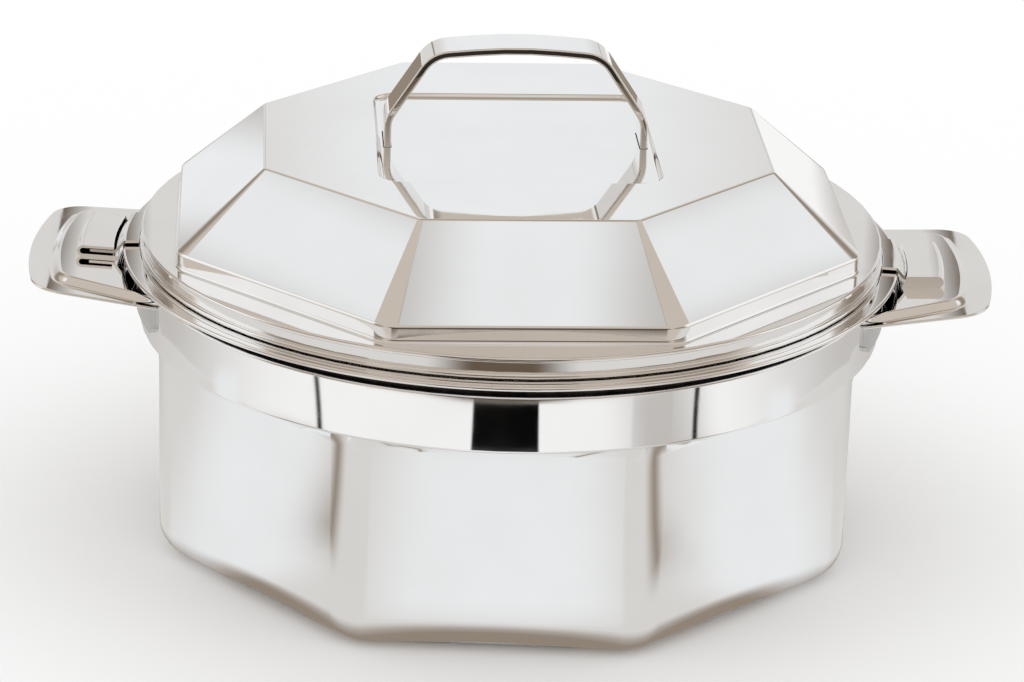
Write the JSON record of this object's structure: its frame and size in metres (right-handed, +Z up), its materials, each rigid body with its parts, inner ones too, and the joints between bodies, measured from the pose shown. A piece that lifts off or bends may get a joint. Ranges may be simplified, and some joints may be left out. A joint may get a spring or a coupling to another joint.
{
  "type": "insulated serving casserole",
  "caption": "Octagonal double-walled steel serving casserole with side handles and a faceted twist-lock lid that turns, then lifts off.",
  "frame": {"origin": "middle of the underside, on the axis of the round rim", "axes": "+Z up along the rim's axis, +X towards the right side handle, -Y towards the viewer's side of the closed pot"},
  "size_m": [0.3224, 0.26, 0.1702],
  "materials": {
    "polished_steel": "mirror-polished stainless steel",
    "inner_steel": "satin stainless steel",
    "bracket_steel": "plain stainless strip",
    "seal": "soft silicone, matt",
    "foam": "rigid polyurethane foam",
    "plug_plastic": "moulded, matt"
  },
  "bodies": {
    "pot": {"outer_shell": "polished_steel", "inner_bowl": "polished_steel", "body_insulation": "foam", "base_plate": "inner_steel", "base_plug": "plug_plastic", "right_side_handle": "polished_steel", "left_side_handle": "polished_steel", "right_handle_bracket": "bracket_steel", "left_handle_bracket": "bracket_steel", "right_catch": "polished_steel", "left_catch": "polished_steel"},
    "seal": {"seal_ring": "seal"},
    "lid": {"lid_shell": "polished_steel", "lid_liner": "inner_steel", "lid_insulation": "foam", "lid_plug": "plug_plastic", "lid_handle": "polished_steel", "right_clench_plate": "inner_steel", "left_clench_plate": "inner_steel", "right_lid_tab": "polished_steel", "left_lid_tab": "polished_steel"}
  },
  "joints": [
    {"name": "lid_lift", "type": "slide", "parent": "pot", "child": "seal", "axis": [0, 0, 1], "range_m": [0, 0.12]},
    {"name": "lid_twist", "type": "hinge", "parent": "seal", "child": "lid", "pos_m": [0, 0, 0.0992], "axis": [0, 0, 1], "range_deg": [0, 25]}
  ]
}
